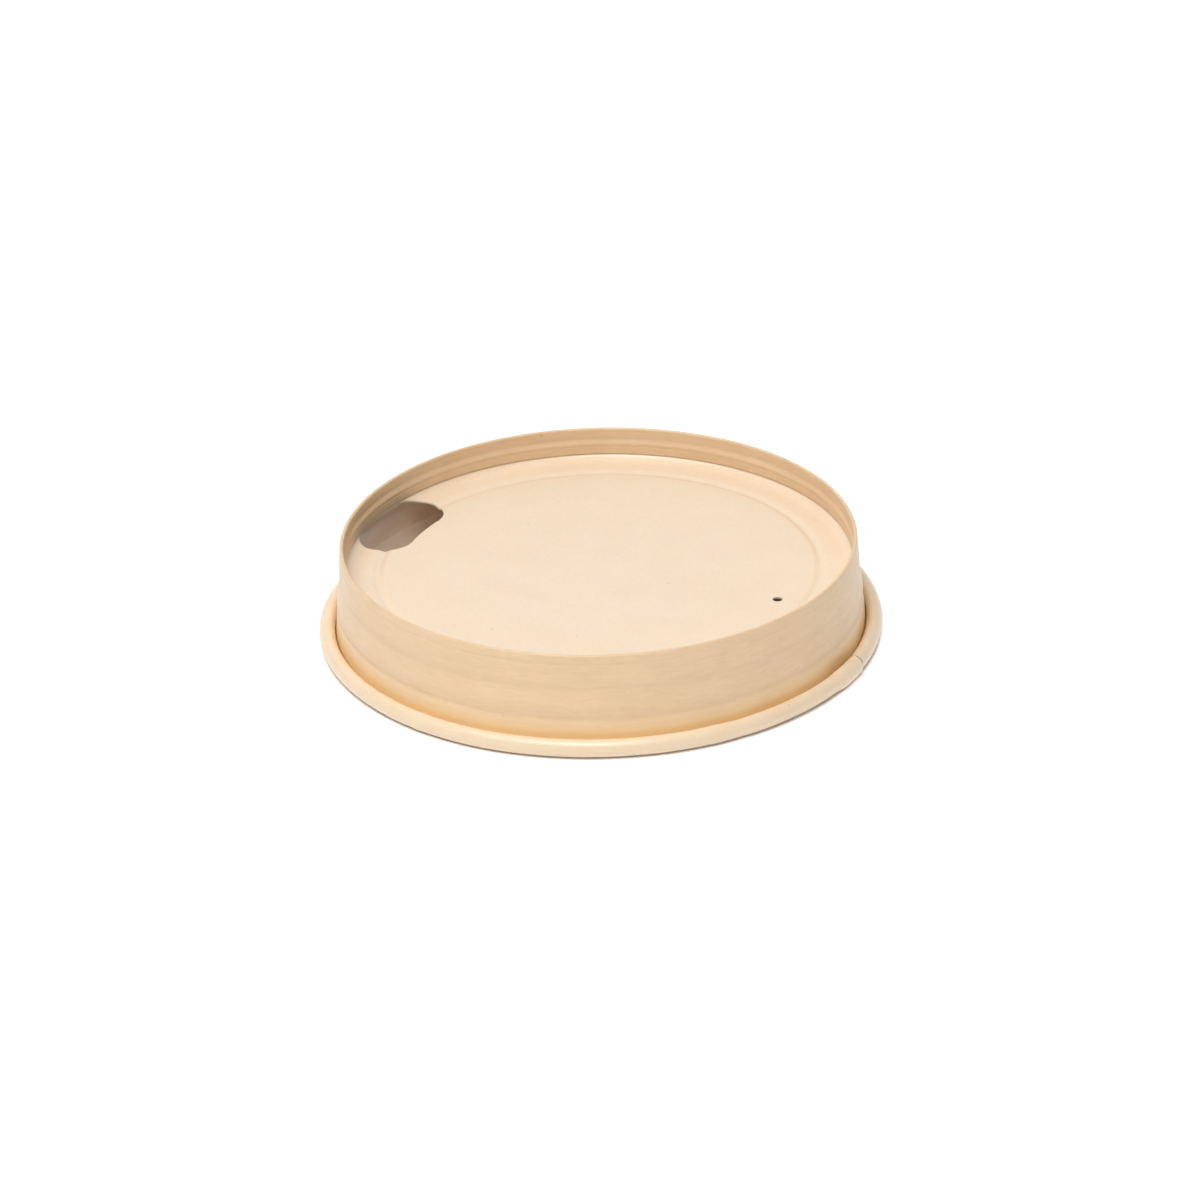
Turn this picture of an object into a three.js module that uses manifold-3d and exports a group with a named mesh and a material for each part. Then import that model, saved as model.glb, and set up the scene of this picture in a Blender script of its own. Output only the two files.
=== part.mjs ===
// Paper lid for a takeaway coffee cup, in millimetres, +Z up.
// It is a shallow paper cup turned upside down, made of two pieces of coated paper.
// side_wall is one strip: hemmed over at the top, wound once round with a lap seam, rolled at the bottom.
// top_panel is one disc: its edge is drawn up into a skirt, which the strip's hem holds against the wall.
// The origin is the centre of the ring that the lid stands on, and the sip hole points to -Y.
import * as THREE from "three";
import { mergeVertices } from "three/addons/utils/BufferGeometryUtils.js";
import Module from "manifold-3d";

const wasm = await Module();
wasm.setup();

// Paper
const paperThickness = 0.3;
const glueGap = 0.08; // between two layers of paper
const paperColour = 0xf0dcc0;

// Side wall
const overallHeight = 17.5; // table to top fold, away from the lap seam
const topDiameter = 89.3; // outside the wall at the top fold
const rimDiameter = 97.6; // outside the rolled rim
const rimRollDiameter = 3.2;
const rimRollTurn = 345; // degrees that the rim is rolled through
const seamLap = 6; // how far the strip's two ends overlap
const seamBulge = 0.3; // extra roll diameter where the rim is two layers thick
const seamAngle = 93; // degrees from +X to the end of the strip that lies inside

// Rolled relief of the wall, measured from its straight taper
const gripTopHeight = 10.4; // the cup's rim sits from here down
const gripTopInset = 0.15;
const gripFootHeight = 8.1;
const gripFootOutset = 0.1;
const snapHeight = 5.8; // the groove that snaps under the cup's rim
const snapDepth = 0.18;
const snapWidth = 0.8;

// Top panel
const panelDepth = 5.95; // top fold down to the panel's upper face
const bendWidth = 2.7; // of the bend from panel to skirt
const bendHeight = 1.4;
const skirtHeight = 2.85; // above the panel's upper face
const ringDiameter = 76.6; // embossed ring, at its lowest line
const ringWidth = 2.6;
const ringDepth = 0.4;

// Openings in the panel
const sipInnerRadius = 34.7; // from the lid's axis
const sipOuterRadius = 44;
const sipAngle = 29.4; // degrees
const sipInnerCornerShare = 0.54; // corner radii, as shares of the hole's depth from the axis outwards
const sipOuterCornerShare = 0.41;
const ventDiameter = 1.7;
const ventDistance = 33.3; // from the lid's axis
const ventAngle = 93.8; // degrees from +X

// Facets
const turnFacets = 60; // in one turn round the axis
const rollFacetAngle = 20; // degrees
const foldFacets = 4; // over the top
const bendFacets = 6; // from panel to skirt

const layerPitch = paperThickness + glueGap;
const panelHeight = overallHeight - panelDepth;
const rollRadius = (rimRollDiameter - paperThickness) / 2; // to the middle of the paper
const footRadius = rimDiameter / 2 - paperThickness / 2 - 2 * rollRadius;
const topRadius = topDiameter / 2 - paperThickness / 2;
const overcut = 2; // how far a cutter reaches past what it cuts

const radians = THREE.MathUtils.degToRad;
const point = (radius, height) => new THREE.Vector2(radius, height);

// Radius of the middle of the wall's paper at a height, were the taper straight from rim to top.
function taperRadius(height) {
  const rise = (height - rimRollDiameter / 2) / (overallHeight - rimRollDiameter / 2);
  return THREE.MathUtils.lerp(footRadius, topRadius, rise);
}

// The same above the grip, where the wall leans in a little less. The skirt and the hem follow it.
function upperRadius(height) {
  const drop = (overallHeight - height) / (overallHeight - gripTopHeight);
  return taperRadius(height) - gripTopInset * drop;
}

// Points at even steps along an arc, without its first point. Angles are in degrees.
function arcPoints(centre, radius, from, to, facets) {
  const points = [];
  for (let i = 1; i <= facets; i++) {
    const angle = radians(THREE.MathUtils.lerp(from, to, i / facets));
    points.push(point(centre.x + radius * Math.cos(angle), centre.y + radius * Math.sin(angle)));
  }
  return points;
}

// The hem goes from its cut edge, up past the skirt's top, to the fold.
function hemLine(foldStart) {
  const footHeight = panelHeight + bendHeight;
  const stepFoot = panelHeight + skirtHeight + paperThickness / 2;
  const stepTop = stepFoot + 2 * layerPitch;
  return [
    point(upperRadius(footHeight) - 2 * layerPitch, footHeight),
    point(upperRadius(stepFoot) - 2 * layerPitch, stepFoot),
    point(upperRadius(stepTop) - layerPitch, stepTop),
    foldStart,
  ];
}

// The wall goes from under the fold down to the top of the snap groove and past it.
function wallLine() {
  return [
    point(upperRadius(gripTopHeight), gripTopHeight),
    point(taperRadius(gripFootHeight) + gripFootOutset, gripFootHeight),
    point(taperRadius(snapHeight + snapWidth / 2), snapHeight + snapWidth / 2),
    point(taperRadius(snapHeight) - snapDepth, snapHeight),
    point(taperRadius(snapHeight - snapWidth / 2), snapHeight - snapWidth / 2),
  ];
}

// The rim rolls down, out, up and back in. Its end tucks inward, so that it passes clear of the wall.
function rollLine(seam) {
  const radius = rollRadius + (seam * seamBulge) / 2;
  const centreRadius = footRadius + radius;
  const centreHeight = radius * Math.cos(radians(rollFacetAngle / 2)) + paperThickness / 2;
  const tuck = (1 + seam) * layerPitch;
  const points = [];
  for (let turn = 0; turn <= rimRollTurn; turn += rollFacetAngle) {
    const angle = Math.PI + radians(turn);
    const reach = radius - tuck * THREE.MathUtils.smoothstep(turn, 250, 335);
    points.push(point(centreRadius + reach * Math.cos(angle), centreHeight + reach * Math.sin(angle)));
  }
  return points;
}

// Middle line of the strip's section, from the hem's cut edge to the rim's inner end.
// seam is 1 where the rim is two layers thick and 0 elsewhere.
function stripLine(seam) {
  const foldRadius = layerPitch / 2;
  const foldHeight = overallHeight - paperThickness / 2 - foldRadius;
  const foldCentre = point(upperRadius(foldHeight) - foldRadius, foldHeight);
  const foldStart = point(foldCentre.x - foldRadius, foldHeight);
  return [
    ...hemLine(foldStart),
    ...arcPoints(foldCentre, foldRadius, 180, 0, foldFacets),
    ...wallLine(),
    ...rollLine(seam),
  ];
}

// Middle line of the panel's section, from the axis out to the top of the skirt.
function panelLine() {
  const middle = panelHeight - paperThickness / 2;
  const ringRadius = ringDiameter / 2;
  const bendTop = panelHeight + bendHeight;
  const bendStart = upperRadius(bendTop) - layerPitch - bendWidth;
  const bend = arcPoints(point(0, 0), 1, -90, 0, bendFacets);
  const skirtTop = panelHeight + skirtHeight;
  return [
    point(0, middle),
    point(ringRadius - ringWidth / 2, middle),
    point(ringRadius - ringWidth / 6, middle - ringDepth),
    point(ringRadius + ringWidth / 6, middle - ringDepth),
    point(ringRadius + ringWidth / 2, middle),
    point(bendStart, middle),
    ...bend.map(({ x, y }) => point(bendStart + bendWidth * x, bendTop + (bendTop - middle) * y)),
    point(upperRadius(skirtTop) - layerPitch, skirtTop),
  ];
}

// The same line moved to its left, with mitred corners.
function offsetLine(line, distance) {
  return line.map((corner, i) => {
    const before = line[i - 1] ?? corner.clone().multiplyScalar(2).sub(line[i + 1]);
    const after = line[i + 1] ?? corner.clone().multiplyScalar(2).sub(before);
    const arriving = corner.clone().sub(before).normalize();
    const leaving = after.clone().sub(corner).normalize();
    const along = arriving.clone().add(leaving).normalize();
    const mitre = distance / along.dot(leaving);
    return point(corner.x - along.y * mitre, corner.y + along.x * mitre);
  });
}

// The strip's section at each turn of its winding, with both faces of the paper.
// Past a whole turn it lies over its own first end, one layer further out.
function windingStations() {
  const lapAngle = THREE.MathUtils.radToDeg(seamLap / footRadius);
  const facetAngle = 360 / turnFacets;
  const windings = [];
  for (let turn = 0; turn < turnFacets + lapAngle / facetAngle; turn++) windings.push(turn * facetAngle);
  windings.push(360 + lapAngle);

  return windings.map((winding) => {
    const overLap = winding >= 360;
    const underLap = winding < lapAngle + facetAngle;
    const middle = stripLine(overLap || underLap ? 1 : 0);
    const lift = overLap ? layerPitch : 0;
    return {
      angle: radians(seamAngle - winding),
      inner: offsetLine(middle, lift - paperThickness / 2),
      outer: offsetLine(middle, lift + paperThickness / 2),
    };
  });
}

// A flat blank is bent: its width follows the section and its length winds round the axis.
function makeSideWall() {
  const stations = windingStations();
  const widthSteps = stations[0].inner.length - 1;
  const lengthSteps = stations.length - 1;
  const blank = new THREE.BoxGeometry(widthSteps, 1, lengthSteps, widthSteps, 1, lengthSteps);
  const place = blank.getAttribute("position");
  for (let i = 0; i < place.count; i++) {
    const across = Math.round(place.getX(i) + widthSteps / 2);
    const { angle, inner, outer } = stations[Math.round(place.getZ(i) + lengthSteps / 2)];
    const { x: radius, y: height } = (place.getY(i) > 0 ? outer : inner)[across];
    place.setXYZ(i, radius * Math.cos(angle), radius * Math.sin(angle), height);
  }
  return blank;
}

// A closed geometry as a solid that can be cut, and a solid as a geometry.
function toSolid(geometry) {
  geometry.deleteAttribute("normal");
  geometry.deleteAttribute("uv");
  const welded = mergeVertices(geometry, 1e-4);
  const numProp = 3;
  const vertProperties = welded.getAttribute("position").array;
  return new wasm.Manifold(new wasm.Mesh({ numProp, vertProperties, triVerts: welded.index.array }));
}

function toGeometry(solid) {
  const mesh = solid.getMesh();
  const geometry = new THREE.BufferGeometry();
  geometry.setAttribute("position", new THREE.BufferAttribute(mesh.vertProperties, 3));
  geometry.setIndex(new THREE.BufferAttribute(mesh.triVerts, 1));
  geometry.computeVertexNormals();
  return geometry;
}

// The sip hole is a ring sector with rounded corners. It reaches out into the panel's bend.
function sipCutter() {
  const halfAngle = radians(sipAngle / 2);
  const sipDepth = sipOuterRadius - sipInnerRadius;
  const sipInnerCorner = sipInnerCornerShare * sipDepth;
  const sipOuterCorner = sipOuterCornerShare * sipDepth;
  const innerReach = sipInnerRadius + sipInnerCorner; // from the axis to the corners' centres
  const outerReach = sipOuterRadius - sipOuterCorner;
  const innerTurn = halfAngle - Math.asin(sipInnerCorner / innerReach);
  const outerTurn = halfAngle - Math.asin(sipOuterCorner / outerReach);
  const side = halfAngle + Math.PI / 2; // at right angles to the sector's straight side
  const sector = new THREE.Shape();
  const corner = (reach, turn, radius, from, to) =>
    sector.absarc(reach * Math.cos(turn), reach * Math.sin(turn), radius, from, to);

  sector.absarc(0, 0, sipOuterRadius, -outerTurn, outerTurn);
  corner(outerReach, outerTurn, sipOuterCorner, outerTurn, side);
  corner(innerReach, innerTurn, sipInnerCorner, side, innerTurn + Math.PI);
  sector.absarc(0, 0, sipInnerRadius, innerTurn, -innerTurn, true);
  corner(innerReach, -innerTurn, sipInnerCorner, Math.PI - innerTurn, 2 * Math.PI - side);
  corner(outerReach, -outerTurn, sipOuterCorner, -side, -outerTurn);

  const foot = panelHeight - ringDepth - paperThickness - overcut;
  const depth = panelHeight + bendHeight - foot;
  const cutter = new THREE.ExtrudeGeometry(sector, { depth, bevelEnabled: false, curveSegments: 4 });
  return cutter.translate(0, 0, foot).rotateZ(-Math.PI / 2);
}

function ventCutter() {
  const radius = ventDiameter / 2;
  const cutter = new THREE.CylinderGeometry(radius, radius, paperThickness + 2 * overcut, 16);
  cutter.rotateX(Math.PI / 2);
  cutter.translate(ventDistance, 0, panelHeight - paperThickness / 2);
  return cutter.rotateZ(radians(ventAngle));
}

function makeTopPanel() {
  const middle = panelLine();
  const lower = offsetLine(middle, -paperThickness / 2);
  const upper = offsetLine(middle, paperThickness / 2).reverse();
  const panel = new THREE.LatheGeometry([...lower, ...upper], turnFacets);
  panel.rotateX(Math.PI / 2);
  panel.rotateZ(radians(seamAngle) + Math.PI / 2);
  return toGeometry(toSolid(panel).subtract(toSolid(sipCutter())).subtract(toSolid(ventCutter())));
}

function paperPiece(name, geometry) {
  const material = new THREE.MeshStandardMaterial({ color: paperColour, roughness: 0.55 });
  const piece = new THREE.Mesh(geometry, material);
  piece.name = name;
  return piece;
}

const lid = new THREE.Group();
lid.add(paperPiece("side_wall", makeSideWall()));
lid.add(paperPiece("top_panel", makeTopPanel()));

export default lid;
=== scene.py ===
"""Paper lid for a takeaway coffee cup, dressed for a studio photograph.

Sizes are in millimetres, as in the solid model, and become metres where a mesh is made. Values in
degrees or metres say so. The sip hole points to -Y and +Z is up.
"""
import math

import bpy
import numpy as np
from mathutils import Matrix, Vector


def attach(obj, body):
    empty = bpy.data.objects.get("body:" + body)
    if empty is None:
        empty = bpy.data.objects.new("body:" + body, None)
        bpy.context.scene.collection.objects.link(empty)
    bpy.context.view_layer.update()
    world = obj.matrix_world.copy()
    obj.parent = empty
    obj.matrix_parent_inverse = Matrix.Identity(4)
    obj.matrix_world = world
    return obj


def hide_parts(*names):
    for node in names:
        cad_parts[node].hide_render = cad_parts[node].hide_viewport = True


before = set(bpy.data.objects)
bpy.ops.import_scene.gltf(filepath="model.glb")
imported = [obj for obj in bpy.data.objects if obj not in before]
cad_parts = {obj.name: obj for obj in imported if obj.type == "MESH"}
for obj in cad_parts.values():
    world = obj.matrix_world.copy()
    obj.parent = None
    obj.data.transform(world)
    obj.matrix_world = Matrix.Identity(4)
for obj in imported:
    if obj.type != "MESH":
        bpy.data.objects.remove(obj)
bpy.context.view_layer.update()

# Paper
PAPER = 0.3
GLUE_GAP = 0.08
PITCH = PAPER + GLUE_GAP

# Side wall
HEIGHT = 17.5
TOP_DIAMETER = 89.3
RIM_DIAMETER = 97.6
GRIP_TOP_HEIGHT = 10.4
GRIP_TOP_INSET = 0.15
GRIP_FOOT_HEIGHT = 8.1
GRIP_FOOT_OUTSET = 0.1
GRIP_ROUNDING = 0.6
SNAP_HEIGHT = 5.8
SNAP_DEPTH = 0.15
SNAP_WIDTH = 1.6
TOP_CREASE_HEIGHT = 15.75
TOP_CREASE_DEPTH = 0.05
TOP_CREASE_WIDTH = 0.6
CREASE_ROUNDING = 4.2  # a crease's width, as a multiple of its corners' rounding

# Rolled rim
RIM_ROLL_DIAMETER = 3.2
RIM_ROLL_TURN = 345  # degrees
TUCK_TURNS = (250, 335)  # degrees of roll over which the paper draws in, to end inside its start

# Hem
HEM_DROP = 0.3  # how far the hem reaches down past the top of the panel's bend
HEM_CREASE_HEIGHT = 14.0
HEM_CREASE_DEPTH = 0.06
HEM_CREASE_WIDTH = 0.3
HEM_STEP_SLOPE = 2  # the height of the step over the skirt's top, as a multiple of its depth
HEM_STEP_FOOT_ROUNDING = 0.1
HEM_STEP_TOP_ROUNDING = 0.3

# Lap seam
SEAM_ANGLE = 93  # degrees from +X to the strip's first end
SEAM_LAP = 6
SEAM_BULGE = 0.5  # how much thicker the roll is at the seam
WALL_LAP_LIFT = -0.02  # the lap is pressed flat in the wall
ROLL_LAP_LIFT = 0.45
LIFT_TURNS = (0, 60)  # degrees of roll over which the lap comes free
LAP_DIP = 3  # degrees over which the roll's upper layer dips under its first end
LAP_RAMP = 1.5  # degrees over which the roll shrinks again behind the lap

# Small kinks that the rolling leaves in the rim: their place in degrees, size, and width in degrees
RIM_KINKS = (
    (51.5, 0.09, 0.9),
    (57, -0.06, 1.6),
    (-52, 0.06, 1.4),
    (-12, 0.07, 0.9),
    (150, 0.04, 1.3),
    (214, -0.04, 2),
)
# Departures of the rim and of the top edge from a true circle: size, waves in a turn, start in radians
RIM_WAVES = ((0.05, 3, 0.4), (0.03, 7, 2), (0.012, 19, 0))
TOP_WAVES = ((0.05, 2, 1.1), (0.03, 5, 0))

# Top panel
PANEL_DEPTH = 5.95
BEND_WIDTH = 2.7
BEND_HEIGHT = 1.4
BEND_FULLNESS = 1.3  # how strongly the bend is drawn towards its corner
SKIRT_HEIGHT = 2.85
RING_DIAMETER = 76.6
RING_WIDTH = 2.6
RING_DEPTH = 0.3
RING_MARGIN = 0.3  # flat paper kept between the panel's last even step and the ring
SIP_INNER_RADIUS = 34.7
SIP_OUTER_RADIUS = 44
SIP_ANGLE = 29.4  # degrees
SIP_INNER_CORNER_SHARE = 0.54  # corner radii, as shares of the hole's depth from the axis outwards
SIP_OUTER_CORNER_SHARE = 0.41
VENT_DIAMETER = 1.7
VENT_DISTANCE = 33.3
VENT_ANGLE = 93.8  # degrees from +X
CUT_MARGIN = 2  # how far a cutter reaches past the paper

# Fineness
TURN_STEPS = 300
LAP_STEPS = 7
ROLL_STEP = 7.5  # degrees
FOLD_STEPS = 10
CORNER_STEPS = 4
FLAT_POINTS = 30
RING_POINTS = 15
BEND_POINTS = 13
SIP_OUTER_POINTS = 24
SIP_INNER_POINTS = 16
SIP_CORNER_POINTS = 14
VENT_STEPS = 40
SHARP_ANGLE = 35  # degrees between faces that meet in a crisp edge
WELD_DISTANCE = 1e-7  # metres

# Which of its piece's papers a face shows
FACE, EDGE, INSIDE, PAINTED_SEAM_SHADOW = range(4)
WALL_PAPERS = ("wall_paper", "cut_paper", "rim_paper", "seam_painted_shadow")
PANEL_PAPERS = ("panel_paper", "cut_paper")

# Papers: tones and the painted gold bounce light at the wall's foot are 0 to 255 screen colours. Tooth is
# the strength of the fine relief, clearness the share of light that enters the paper, and wound paper has
# its fibres and streaks round the lid.
SPECK_COLOUR = (125, 84, 50)
PAPERS = {
    "wall_paper": {
        "light": (239, 207, 167),
        "dark": (228, 195, 155),
        "roughness": 0.5,
        "coat": 0.45,
        "tooth": 0.12,
        "clearness": 0,
        "wound": True,
        # painted gold bounce light just above the roll
        "foot": (254, 218, 156),
    },
    "rim_paper": {
        "light": (247, 222, 191),
        "dark": (241, 214, 182),
        "roughness": 0.45,
        "coat": 0.65,
        "tooth": 0.15,
        "clearness": 0.3,
        "wound": True,
    },
    # painted shadow: a dark band standing in for the shade behind the lap's step
    "seam_painted_shadow": {
        "light": (178, 134, 94),
        "dark": (152, 110, 74),
        "roughness": 0.6,
        "coat": 0.1,
        "tooth": 0.2,
        "clearness": 0.12,
    },
    "panel_paper": {
        "light": (246, 224, 196),
        "dark": (240, 216, 187),
        "roughness": 0.48,
        "coat": 0.55,
        "tooth": 0.3,
        "clearness": 0.12,
    },
    "cut_paper": {
        "light": (246, 226, 204),
        "dark": (234, 208, 178),
        "roughness": 0.8,
        "coat": 0,
        "tooth": 0.6,
        "clearness": 0.12,
    },
}
PAPER_IOR = 1.45
COAT_ROUGHNESS = 0.27
CLEARNESS_DEPTH = 0.0005  # metres
CLEARNESS_TINT = (1.0, 0.6, 0.35)
TOOTH_DEPTH = 0.00005  # metres
FOOT_PAINTED_GLOW = 0.7  # share of the painted gold bounce light at the wall's foot, standing in for light thrown between wall and roll
FOOT_PAINTED_GLOW_HEIGHTS = (0.0025, 0.0065)  # metres, where the painted glow is full and where it ends

# Noise in the paper: waves in a metre, detail, roughness and distortion
CLOUDS = (130, 3, 0.5, 0)
FIBRES = (1500, 6, 0.72, 1.0)
SPECKS = (900, 2, 0.5, 0.6)
STREAKS = (300, 2, 0.5, 0)
TOOTH = (900, 5, 0.6, 0)
# Noise values between which each one fades in, and how strong it gets
GRAIN_LIMITS = (0.3, 0.7)
CLOUD_SHARE = 0.3
FIBRE_SHARE = 0.7
SPECK_LIMITS = (0.76, 0.8)
SPECK_STRENGTH = 0.4
STREAK_LIMITS = (0.5, 0.72)
STREAK_STRENGTH = 0.6
FIBRE_SQUEEZE = 0.15  # lengthwise, so that the wall's fibres run round the lid
STREAK_SQUEEZE = 0.02

# Floor, in metres
FLOOR_REACH = 3.0
FLOOR_DROP = 0.00005
GLOW_AND_CONTACT_SHADE_RADII = (0.0483, 0.0489)  # where the floor's glow starts and is full; the floor left unlit just inside this, under the rim's edge, is a thin contact line, partly real shadow and partly painted shade
FLOOR_GLOW = 0.62
COVERED_PAINTED_GLOW = 0.02  # painted glow under the lid, standing in for the light that the paper lets through
FLOOR_WHITE = 0.5  # share of light that the floor throws back
COVERED_WHITE = 0.95  # the same under the lid

# The photograph's view: the camera's compass direction and height, its roll, distance and lens
CAMERA_ANGLE = 28.5  # degrees from +X to the camera
CAMERA_ELEVATION = 26.985  # degrees
CAMERA_ROLL = 1.62  # degrees
CAMERA_DISTANCE = 1.049  # metres
CAMERA_NEAR = 0.01  # metres
FOCAL_PIXELS = 6043
IMAGE_PIXELS = 1200
SENSOR_WIDTH = 36
ORIGIN_RIGHT = 0.99  # pixels from the picture's centre to the lid's origin
ORIGIN_DOWN = 27.46

# The studio's light from all round, and from the white backdrop behind the lid
ROOM_LIGHT = 0.27
BACKDROP_LIGHT = 0.85
BACKDROP_EDGES = (0.3, 0.9)  # how directly behind the lid the backdrop starts and is full
# Square lamps: metres to the photograph's right, towards the camera and up, then side and power
LAMPS = {
    "key": (-0.5, 0.3, 1.35, 0.8, 7),
    "overhead": (-0.1, 0.65, 1.4, 0.6, 11.3),
}

PANEL_HEIGHT = HEIGHT - PANEL_DEPTH
ROLL_RADIUS = (RIM_ROLL_DIAMETER - PAPER) / 2
FOOT_RADIUS = RIM_DIAMETER / 2 - PAPER / 2 - 2 * ROLL_RADIUS
TOP_RADIUS = TOP_DIAMETER / 2 - PAPER / 2
MM = 0.001


def taper_radius(height):
    """Middle of the wall's paper, were its taper straight from rim to top."""
    rise = (height - RIM_ROLL_DIAMETER / 2) / (HEIGHT - RIM_ROLL_DIAMETER / 2)
    return FOOT_RADIUS + (TOP_RADIUS - FOOT_RADIUS) * rise


def upper_radius(height):
    """The same above the grip, where the wall leans in a little less."""
    drop = (HEIGHT - height) / (HEIGHT - GRIP_TOP_HEIGHT)
    return taper_radius(height) - GRIP_TOP_INSET * drop


def hem_radius(height):
    """Middle of the hem's paper where the skirt lies between it and the wall."""
    return upper_radius(height) - 2 * PITCH


def smoothstep(value, start, end):
    t = min(max((value - start) / (end - start), 0), 1)
    return t * t * (3 - 2 * t)


def softened(corners):
    """A line through (radius, height, rounding) corners, each rounded over that length."""
    points = [np.array(corners[0][:2])]
    for before, corner, after in zip(corners, corners[1:], corners[2:]):
        middle = np.array(corner[:2])
        back = np.array(before[:2]) - middle
        ahead = np.array(after[:2]) - middle
        start = middle + back / np.linalg.norm(back) * corner[2]
        end = middle + ahead / np.linalg.norm(ahead) * corner[2]
        for t in np.linspace(0, 1, CORNER_STEPS + 1):
            points.append((1 - t) ** 2 * start + 2 * t * (1 - t) * middle + t**2 * end)
    points.append(np.array(corners[-1][:2]))
    return points


def crease(radius_at, height, depth, width, up):
    """Three corners of a shallow groove across the line, in the line's direction."""
    half = width / 2 if up else -width / 2
    rounding = width / CREASE_ROUNDING
    return [
        (radius_at(height - half), height - half, rounding),
        (radius_at(height) - depth, height, rounding),
        (radius_at(height + half), height + half, rounding),
    ]


def fold_line():
    """The half turn at the top edge, from the hem over to the wall."""
    radius = PITCH / 2
    height = HEIGHT - PAPER / 2 - radius
    middle = upper_radius(height) - radius
    return [
        np.array((middle - radius * math.cos(a), height + radius * math.sin(a)))
        for a in np.linspace(0, math.pi, FOLD_STEPS + 1)
    ]


def hem_line(end):
    """From the hem's cut edge, past the step over the skirt's top, to the fold."""
    foot = PANEL_HEIGHT + BEND_HEIGHT - HEM_DROP
    step_foot = PANEL_HEIGHT + SKIRT_HEIGHT + PAPER / 2
    step_top = step_foot + HEM_STEP_SLOPE * PITCH
    return softened(
        [
            (hem_radius(foot), foot, 0),
            *crease(hem_radius, HEM_CREASE_HEIGHT, -HEM_CREASE_DEPTH, HEM_CREASE_WIDTH, True),
            (hem_radius(step_foot), step_foot, HEM_STEP_FOOT_ROUNDING),
            (upper_radius(step_top) - PITCH, step_top, HEM_STEP_TOP_ROUNDING),
            (*end, 0),
        ]
    )


def wall_line(start, end):
    """From the fold down past the grip and the snap groove to the roll."""
    return softened(
        [
            (*start, 0),
            *crease(upper_radius, TOP_CREASE_HEIGHT, TOP_CREASE_DEPTH, TOP_CREASE_WIDTH, False),
            (upper_radius(GRIP_TOP_HEIGHT), GRIP_TOP_HEIGHT, GRIP_ROUNDING),
            (taper_radius(GRIP_FOOT_HEIGHT) + GRIP_FOOT_OUTSET, GRIP_FOOT_HEIGHT, GRIP_ROUNDING),
            *crease(taper_radius, SNAP_HEIGHT, SNAP_DEPTH, SNAP_WIDTH, False),
            (*end, 0),
        ]
    )


def roll_turns():
    """Degrees that the rim is rolled through at each of its points."""
    return np.arange(0, RIM_ROLL_TURN + ROLL_STEP / 2, ROLL_STEP)


def roll_line(seam, dent):
    """The rim's roll, from the wall's foot outwards and round to its inner end."""
    radius = ROLL_RADIUS + seam * SEAM_BULGE / 2 + dent
    centre = np.array((FOOT_RADIUS + radius, radius + PAPER / 2))
    points = []
    for turn in roll_turns():
        angle = math.pi + math.radians(turn)
        reach = radius - (1 + seam) * PITCH * smoothstep(turn, *TUCK_TURNS)
        points.append(centre + reach * np.array((math.cos(angle), math.sin(angle))))
    return points


def strip_line(seam, dent):
    """Middle line of the strip's section, from the hem's cut edge to the rim's inner end."""
    fold = fold_line()
    roll = roll_line(seam, dent)
    return np.array(hem_line(fold[0]) + fold[1:-1] + wall_line(fold[-1], roll[0])[:-1] + roll)


def offset_line(line, distance):
    """The line moved to its left."""
    before = np.vstack([2 * line[0] - line[1], line[:-1]])
    after = np.vstack([line[1:], 2 * line[-1] - line[-2]])
    arriving = line - before
    leaving = after - line
    arriving /= np.linalg.norm(arriving, axis=1, keepdims=True)
    leaving /= np.linalg.norm(leaving, axis=1, keepdims=True)
    along = arriving + leaving
    along /= np.linalg.norm(along, axis=1, keepdims=True)
    straightness = np.sum(along * leaving, axis=1, keepdims=True)
    normal = np.stack([-along[:, 1], along[:, 0]], axis=1)
    return line + normal * distance / straightness


def waviness(waves, angle):
    return sum(size * math.sin(count * angle + start) for size, count, start in waves)


def rim_dent(angle):
    total = 0
    for place, size, width in RIM_KINKS:
        away = (math.degrees(angle) - place + 180) % 360 - 180
        total += size * math.exp(-((away / width) ** 2))
    return total


def to_ring(section, angle):
    """A (radius, height) section stood up at an angle, in metres."""
    share = np.clip(section[:, 1] / HEIGHT, 0, 1)
    reach = np.clip(section[:, 0] / FOOT_RADIUS, 0, 1) ** 2
    departure = waviness(RIM_WAVES, angle) * (1 - share) + waviness(TOP_WAVES, angle) * share
    radius = section[:, 0] + departure * reach
    return np.stack([radius * math.cos(angle), radius * math.sin(angle), section[:, 1]], axis=1) * MM


def new_object(name, vertices, faces, materials, face_materials):
    mesh = bpy.data.meshes.new(name)
    mesh.from_pydata([tuple(v) for v in vertices], [], faces)
    for material in materials:
        mesh.materials.append(material)
    mesh.polygons.foreach_set("material_index", face_materials)
    mesh.polygons.foreach_set("use_smooth", [True] * len(faces))
    mesh.update()
    mesh.validate()
    mesh.set_sharp_from_angle(angle=math.radians(SHARP_ANGLE))
    piece = bpy.data.objects.new(name, mesh)
    bpy.context.scene.collection.objects.link(piece)
    return piece


def sheet(rows):
    """Four-cornered faces between rows of vertex numbers."""
    return [
        [near[i], near[i + 1], far[i + 1], far[i]]
        for near, far in zip(rows, rows[1:])
        for i in range(len(near) - 1)
    ]


def lap_lift(count):
    """How far the strip's last end lies off its first: outside it in the wall, inside it in the roll."""
    turns = roll_turns()
    lift = np.full((count, 1), WALL_LAP_LIFT)
    lift[-len(turns) :, 0] = np.interp(turns, LIFT_TURNS, (WALL_LAP_LIFT, ROLL_LAP_LIFT))
    return lift


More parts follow.
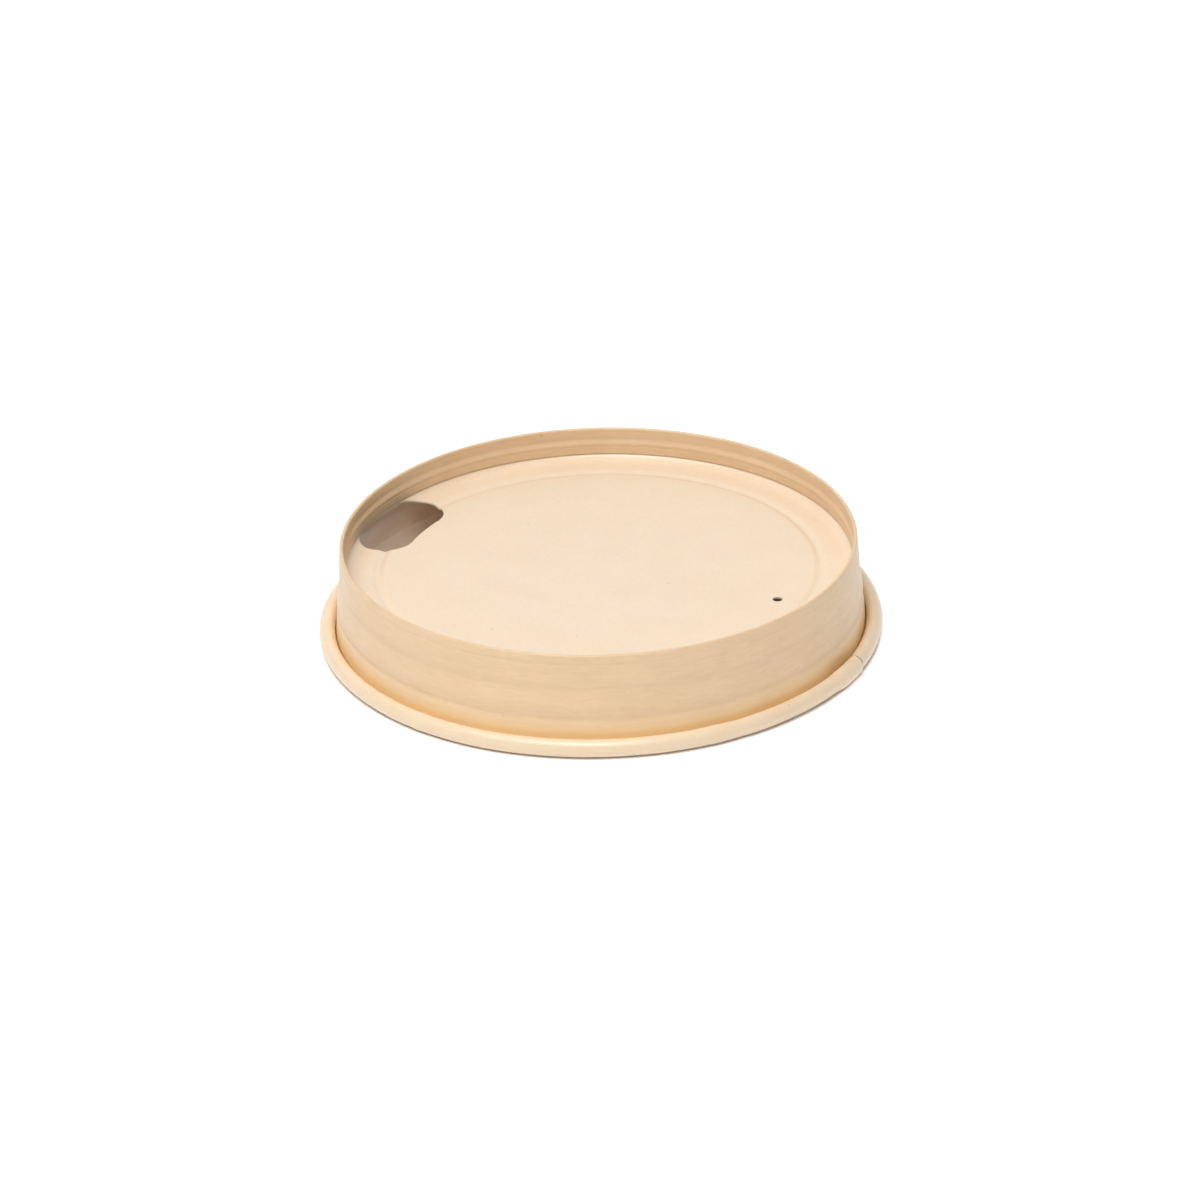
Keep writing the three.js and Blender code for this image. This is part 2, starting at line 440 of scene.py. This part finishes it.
def wound_strip():
    """The strip's vertices, and their numbers in rows on its inner and on its outer face."""
    lap = math.degrees(SEAM_LAP / FOOT_RADIUS)
    windings = [*np.linspace(0, 360, TURN_STEPS + 1), *np.linspace(360, 360 + lap, LAP_STEPS + 1)[1:]]
    vertices, inner, outer = [], [], []
    for winding in windings:
        over = smoothstep(winding, 360 - LAP_DIP, 360)
        under = 1 - smoothstep(winding, lap, lap + LAP_RAMP)
        angle = math.radians(SEAM_ANGLE - winding)
        line = strip_line(max(over, under), rim_dent(angle))
        lift = over * lap_lift(len(line))
        for rows, face in ((inner, -PAPER / 2), (outer, PAPER / 2)):
            rows.append(range(len(vertices), len(vertices) + len(line)))
            vertices.extend(to_ring(offset_line(line, lift + face), angle))
    return vertices, inner, outer


def make_side_wall(papers):
    """The strip, wound once round and on over its own first end, with a painted shadow line beside the
    lap.
    """
    vertices, inner, outer = wound_strip()
    faces = sheet(inner) + sheet([row[::-1] for row in outer])
    kinds = [INSIDE] * (len(faces) // 2) + [FACE] * (len(faces) // 2)
    steps = len(inner[0]) - 1
    # the last rows before the lap take the dark paper, a painted shadow line beside the step
    kinds[(TURN_STEPS - 1) * steps : TURN_STEPS * steps] = [PAINTED_SEAM_SHADOW] * steps
    # The strip's two long edges, then its two ends
    faces += sheet([[out[0], within[0]] for within, out in zip(inner, outer)])
    faces += sheet([[within[-1], out[-1]] for within, out in zip(inner, outer)])
    faces += sheet([outer[0], inner[0]]) + sheet([inner[-1], outer[-1]])
    kinds += [EDGE] * (len(faces) - len(kinds))
    return new_object("paper_side_wall", vertices, faces, papers, kinds)


def bend_line(start, corner, end):
    """A curve from start to end, drawn towards the corner where their directions meet."""
    low = (start + corner * BEND_FULLNESS) / (1 + BEND_FULLNESS)
    high = (end + corner * BEND_FULLNESS) / (1 + BEND_FULLNESS)
    return [
        (1 - t) ** 3 * start + 3 * t * (1 - t) ** 2 * low + 3 * t**2 * (1 - t) * high + t**3 * end
        for t in np.linspace(0, 1, BEND_POINTS)
    ]


def panel_line():
    """Middle line of the panel's section, from the axis out to the top of the skirt."""
    middle = PANEL_HEIGHT - PAPER / 2
    bend_top = PANEL_HEIGHT + BEND_HEIGHT
    skirt = upper_radius(bend_top) - PITCH
    skirt_top = PANEL_HEIGHT + SKIRT_HEIGHT
    ring = RING_DIAMETER / 2
    flat_end = ring - RING_WIDTH / 2 - RING_MARGIN
    flat = [np.array((radius, middle)) for radius in np.linspace(0, flat_end, FLAT_POINTS)]
    groove = [
        np.array((ring + x * RING_WIDTH / 2, middle - RING_DEPTH * math.cos(x * math.pi / 2) ** 2))
        for x in np.linspace(-1, 1, RING_POINTS)
    ]
    bend = bend_line(
        np.array((skirt - BEND_WIDTH, middle)), np.array((skirt, middle)), np.array((skirt, bend_top))
    )
    top = np.array((upper_radius(skirt_top) - PITCH, skirt_top))
    return np.array(flat + groove + bend + [top])


def turned(line):
    """Vertices and faces of a closed (radius, height) outline turned round the axis."""
    angles = [2 * math.pi * step / TURN_STEPS for step in range(TURN_STEPS)]
    vertices = np.vstack([to_ring(line, angle) for angle in angles])
    rows = [range(step * len(line), (step + 1) * len(line))[::-1] for step in range(TURN_STEPS)]
    return vertices, sheet(rows + rows[:1])


def make_cutter(name, outline, low, high, materials):
    """An upright prism, whose faces leave the second material where it cuts."""
    count = len(outline)
    vertices = [(x * MM, y * MM, z * MM) for z in (low, high) for x, y in outline]
    faces = [list(range(count))[::-1], list(range(count, 2 * count))]
    for i in range(count):
        j = (i + 1) % count
        faces.append([i, j, count + j, count + i])
    mesh = bpy.data.meshes.new(name)
    mesh.from_pydata(vertices, [], faces)
    for material in materials:
        mesh.materials.append(material)
    mesh.polygons.foreach_set("material_index", [EDGE] * len(faces))
    cutter = bpy.data.objects.new(name, mesh)
    bpy.context.scene.collection.objects.link(cutter)
    return cutter


def cut(piece, name, outline, low, high):
    """Cuts an upright prism through the piece."""
    cutter = make_cutter(name, outline, low, high, list(piece.data.materials))
    modifier = piece.modifiers.new(name, "BOOLEAN")
    modifier.object = cutter
    modifier.operation = "DIFFERENCE"
    modifier.solver = "EXACT"
    graph = bpy.context.evaluated_depsgraph_get()
    result = bpy.data.meshes.new_from_object(piece.evaluated_get(graph))
    piece.modifiers.clear()
    piece.data = result
    bpy.data.objects.remove(cutter)


def arc(centre, radius, start, end, count):
    return [
        (centre[0] + radius * math.cos(a), centre[1] + radius * math.sin(a))
        for a in np.linspace(start, end, count)
    ]


def sip_outline():
    """A ring sector with rounded corners, which reaches out into the panel's bend."""
    half = math.radians(SIP_ANGLE / 2)
    depth = SIP_OUTER_RADIUS - SIP_INNER_RADIUS
    inner_corner = SIP_INNER_CORNER_SHARE * depth
    outer_corner = SIP_OUTER_CORNER_SHARE * depth
    inner_reach = SIP_INNER_RADIUS + inner_corner
    outer_reach = SIP_OUTER_RADIUS - outer_corner
    inner_turn = half - math.asin(inner_corner / inner_reach)
    outer_turn = half - math.asin(outer_corner / outer_reach)
    side = half + math.pi / 2
    front = -math.pi / 2

    def corner(reach, turn, radius, start, end):
        centre = (reach * math.cos(front + turn), reach * math.sin(front + turn))
        return arc(centre, radius, front + start, front + end, SIP_CORNER_POINTS)

    outer = arc((0, 0), SIP_OUTER_RADIUS, front - outer_turn, front + outer_turn, SIP_OUTER_POINTS)
    inner = arc((0, 0), SIP_INNER_RADIUS, front + inner_turn, front - inner_turn, SIP_INNER_POINTS)
    return (
        outer[1:-1]
        + corner(outer_reach, outer_turn, outer_corner, outer_turn, side)
        + corner(inner_reach, inner_turn, inner_corner, side, inner_turn + math.pi)
        + inner[1:-1]
        + corner(inner_reach, -inner_turn, inner_corner, -inner_turn - math.pi, -side)
        + corner(outer_reach, -outer_turn, outer_corner, -side, -outer_turn)
    )


def vent_outline():
    angle = math.radians(VENT_ANGLE)
    centre = (VENT_DISTANCE * math.cos(angle), VENT_DISTANCE * math.sin(angle))
    return arc(centre, VENT_DIAMETER / 2, 0, 2 * math.pi, VENT_STEPS + 1)[:-1]


def make_top_panel(papers):
    """The disc with its embossed ring and drawn-up skirt, then its two holes."""
    line = panel_line()
    upper = offset_line(line, PAPER / 2)
    lower = offset_line(line, -PAPER / 2)
    upper[0, 0] = lower[0, 0] = 0
    outline = np.vstack([lower, upper[::-1]])
    vertices, faces = turned(outline)
    kinds = [EDGE if min(face) % len(outline) == len(line) - 1 else FACE for face in faces]
    piece = new_object("paper_top_panel", vertices, faces, papers, kinds)
    weld = piece.modifiers.new("weld", "WELD")
    weld.merge_threshold = WELD_DISTANCE
    low = PANEL_HEIGHT - RING_DEPTH - PAPER - CUT_MARGIN
    cut(piece, "sip_cutter", sip_outline(), low, PANEL_HEIGHT + BEND_HEIGHT)
    cut(piece, "vent_cutter", vent_outline(), low, PANEL_HEIGHT + CUT_MARGIN)
    piece.data.set_sharp_from_angle(angle=math.radians(SHARP_ANGLE))
    return piece


class Nodes:
    """A short way to add and link shader nodes."""

    def __init__(self, tree):
        self.tree = tree
        self.tree.nodes.clear()

    def add(self, kind, inputs=None, **settings):
        node = self.tree.nodes.new(kind)
        for key, value in settings.items():
            setattr(node, key, value)
        for key, value in (inputs or {}).items():
            self.fill(node.inputs[key], value)
        return node

    def fill(self, socket, value):
        if isinstance(value, bpy.types.NodeSocket):
            self.tree.links.new(value, socket)
        else:
            socket.default_value = value


def srgb(red, green, blue):
    """A 0 to 255 screen colour as linear light."""
    return tuple(
        v / 255 / 12.92 if v <= 10 else ((v / 255 + 0.055) / 1.055) ** 2.4 for v in (red, green, blue)
    ) + (1,)


def noise(nodes, vector, scale, detail, roughness, distortion):
    inputs = {
        "Vector": vector,
        "Scale": scale,
        "Detail": detail,
        "Roughness": roughness,
        "Distortion": distortion,
    }
    return nodes.add("ShaderNodeTexNoise", inputs).outputs["Fac"]


def ramp(nodes, value, low, high, bottom=0.0, top=1.0):
    """Eases from bottom to top while the value goes from low to high."""
    inputs = {"Value": value, "From Min": low, "From Max": high, "To Min": bottom, "To Max": top}
    node = nodes.add("ShaderNodeMapRange", inputs, interpolation_type="SMOOTHSTEP")
    return node.outputs["Result"]


def arithmetic(nodes, operation, *values):
    return nodes.add("ShaderNodeMath", dict(enumerate(values)), operation=operation).outputs[0]


def mixed(nodes, factor, first, second):
    node = nodes.add("ShaderNodeMix", {0: factor, 6: first, 7: second}, data_type="RGBA")
    return node.outputs[2]


def wound_place(nodes, place, squeeze):
    """Where a point lies on the unrolled wall, squeezed lengthwise."""
    x, y, z = nodes.add("ShaderNodeSeparateXYZ", {"Vector": place}).outputs
    angle = arithmetic(nodes, "ARCTAN2", y, x)
    length = arithmetic(nodes, "MULTIPLY", angle, FOOT_RADIUS * MM * squeeze)
    return nodes.add("ShaderNodeCombineXYZ", {"X": length, "Z": z}).outputs[0]


def paper_tone(nodes, place, grain_place, wound):
    """How dark the paper is from place to place: clouds, fibres and, round the wall, long streaks."""
    clouds = ramp(nodes, noise(nodes, place, *CLOUDS), *GRAIN_LIMITS)
    fibres = ramp(nodes, noise(nodes, grain_place, *FIBRES), *GRAIN_LIMITS)
    blotch = arithmetic(nodes, "MULTIPLY", clouds, CLOUD_SHARE)
    tone = arithmetic(nodes, "MULTIPLY_ADD", fibres, FIBRE_SHARE, blotch)
    if wound:
        streaks = noise(nodes, wound_place(nodes, place, STREAK_SQUEEZE), *STREAKS)
        tone = arithmetic(nodes, "ADD", tone, ramp(nodes, streaks, *STREAK_LIMITS, 0.0, STREAK_STRENGTH))
    return tone


def paper_material(name, light, dark, roughness, coat, tooth, clearness, wound=False, foot=None):
    """Coated paper: soft clouding, fine fibres, a few dark specks, and a faint tooth under the coating."""
    material = bpy.data.materials.new(name)
    material.use_nodes = True
    nodes = Nodes(material.node_tree)
    place = nodes.add("ShaderNodeTexCoord").outputs["Object"]
    grain_place = wound_place(nodes, place, FIBRE_SQUEEZE) if wound else place
    colour = mixed(nodes, paper_tone(nodes, place, grain_place, wound), srgb(*light), srgb(*dark))
    # painted gold bounce light at the wall's foot, fading upwards
    if foot:
        height = nodes.add("ShaderNodeSeparateXYZ", {"Vector": place}).outputs["Z"]
        painted_glow = ramp(nodes, height, *FOOT_PAINTED_GLOW_HEIGHTS, FOOT_PAINTED_GLOW, 0.0)
        colour = mixed(nodes, painted_glow, colour, srgb(*foot))
    specks = ramp(nodes, noise(nodes, place, *SPECKS), *SPECK_LIMITS, 0.0, SPECK_STRENGTH)
    relief = noise(nodes, grain_place, *TOOTH)
    raised = nodes.add("ShaderNodeBump", {"Height": relief, "Strength": tooth, "Distance": TOOTH_DEPTH})
    shader = nodes.add(
        "ShaderNodeBsdfPrincipled",
        {
            "Base Color": mixed(nodes, specks, colour, srgb(*SPECK_COLOUR)),
            "Roughness": roughness,
            "IOR": PAPER_IOR,
            "Coat Weight": coat,
            "Coat Roughness": COAT_ROUGHNESS,
            "Subsurface Weight": clearness,
            "Subsurface Scale": CLEARNESS_DEPTH,
            "Subsurface Radius": CLEARNESS_TINT,
            "Normal": raised.outputs["Normal"],
        },
    )
    nodes.add("ShaderNodeOutputMaterial", {"Surface": shader.outputs[0]})
    return material


def floor_material():
    """A floor that glows evenly, as a light table does, except under the lid: there it is left unlit as
    painted shade, with a faint painted glow for light through the paper.
    """
    material = bpy.data.materials.new("studio_floor")
    material.use_nodes = True
    nodes = Nodes(material.node_tree)
    place = nodes.add("ShaderNodeTexCoord").outputs["Object"]
    distance = nodes.add("ShaderNodeVectorMath", {0: place}, operation="LENGTH").outputs["Value"]
    # the glow's edge just outside the rim leaves a thin painted contact shade under the rim
    shader = nodes.add(
        "ShaderNodeBsdfPrincipled",
        {
            "Base Color": ramp(nodes, distance, *GLOW_AND_CONTACT_SHADE_RADII, COVERED_WHITE, FLOOR_WHITE),
            "Roughness": 1.0,
            "Specular IOR Level": 0.0,
            "Emission Color": (1, 1, 1, 1),
            "Emission Strength": ramp(nodes, distance, *GLOW_AND_CONTACT_SHADE_RADII, COVERED_PAINTED_GLOW, FLOOR_GLOW),
        },
    )
    nodes.add("ShaderNodeOutputMaterial", {"Surface": shader.outputs[0]})
    return material


def make_floor():
    corners = [(-1, -1), (1, -1), (1, 1), (-1, 1)]
    mesh = bpy.data.meshes.new("floor")
    mesh.from_pydata([(x * FLOOR_REACH, y * FLOOR_REACH, 0) for x, y in corners], [], [[0, 1, 2, 3]])
    mesh.materials.append(floor_material())
    floor = bpy.data.objects.new("floor", mesh)
    floor.location.z = -FLOOR_DROP
    bpy.context.scene.collection.objects.link(floor)


def view_axes():
    """The photograph's right, up and forward directions before roll."""
    angle = math.radians(CAMERA_ANGLE)
    rise = math.radians(CAMERA_ELEVATION)
    toward = Vector((math.cos(angle) * math.cos(rise), math.sin(angle) * math.cos(rise), math.sin(rise)))
    right = Vector((-math.sin(angle), math.cos(angle), 0))
    return right, toward.cross(right), -toward


def make_camera():
    """The photograph's camera, aimed so that the lid's origin falls on its place in the picture."""
    right, up, forward = view_axes()
    roll = math.radians(CAMERA_ROLL)
    rolled_right = right * math.cos(roll) - up * math.sin(roll)
    rolled_up = right * math.sin(roll) + up * math.cos(roll)
    place = -forward * CAMERA_DISTANCE
    aim = (forward * FOCAL_PIXELS + rolled_up * ORIGIN_DOWN - rolled_right * ORIGIN_RIGHT).normalized()
    side = aim.cross(rolled_up).normalized()
    top = side.cross(aim)
    data = bpy.data.cameras.new("camera")
    data.sensor_width = SENSOR_WIDTH
    data.lens = FOCAL_PIXELS / IMAGE_PIXELS * SENSOR_WIDTH
    data.clip_start = CAMERA_NEAR
    camera = bpy.data.objects.new("camera", data)
    turn = Matrix((side, top, -aim)).transposed()
    camera.matrix_world = Matrix.Translation(place) @ turn.to_4x4()
    bpy.context.scene.collection.objects.link(camera)
    bpy.context.scene.camera = camera


def make_light(name, across, toward_camera, height, size, power):
    """A square lamp, turned to the lid."""
    right, _, forward = view_axes()
    level = Vector((-forward.x, -forward.y, 0)).normalized()
    place = right * across + level * toward_camera + Vector((0, 0, height))
    data = bpy.data.lights.new(name, "AREA")
    data.size = size
    data.energy = power
    light = bpy.data.objects.new(name, data)
    light.location = place
    light.rotation_euler = (-place).to_track_quat("-Z", "Y").to_euler()
    bpy.context.scene.collection.objects.link(light)


def make_world():
    """Even light from all round, brighter from the backdrop."""
    world = bpy.data.worlds.new("studio")
    world.use_nodes = True
    nodes = Nodes(world.node_tree)
    direction = nodes.add("ShaderNodeTexCoord").outputs["Generated"]
    _, _, forward = view_axes()
    away = Vector((forward.x, forward.y, 0)).normalized()
    behind = nodes.add("ShaderNodeVectorMath", {0: direction, 1: away}, operation="DOT_PRODUCT")
    light = ramp(nodes, behind.outputs["Value"], *BACKDROP_EDGES, ROOM_LIGHT, BACKDROP_LIGHT)
    background = nodes.add("ShaderNodeBackground", {"Color": (1, 1, 1, 1), "Strength": light})
    nodes.add("ShaderNodeOutputWorld", {"Surface": background.outputs[0]})
    bpy.context.scene.world = world


def make_studio():
    make_world()
    for name, place_size_power in LAMPS.items():
        make_light(name, *place_size_power)
    bpy.context.scene.view_settings.view_transform = "Standard"
    bpy.context.scene.view_settings.look = "None"


def dress():
    papers = {name: paper_material(name, **look) for name, look in PAPERS.items()}
    wall = make_side_wall([papers[name] for name in WALL_PAPERS])
    panel = make_top_panel([papers[name] for name in PANEL_PAPERS])
    for piece, node, slot in (
        (wall, "side_wall", "wall_paper"),
        (panel, "top_panel", "panel_paper"),
    ):
        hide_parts(node)
        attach(piece, "root")


make_camera()
make_floor()
make_studio()
dress()
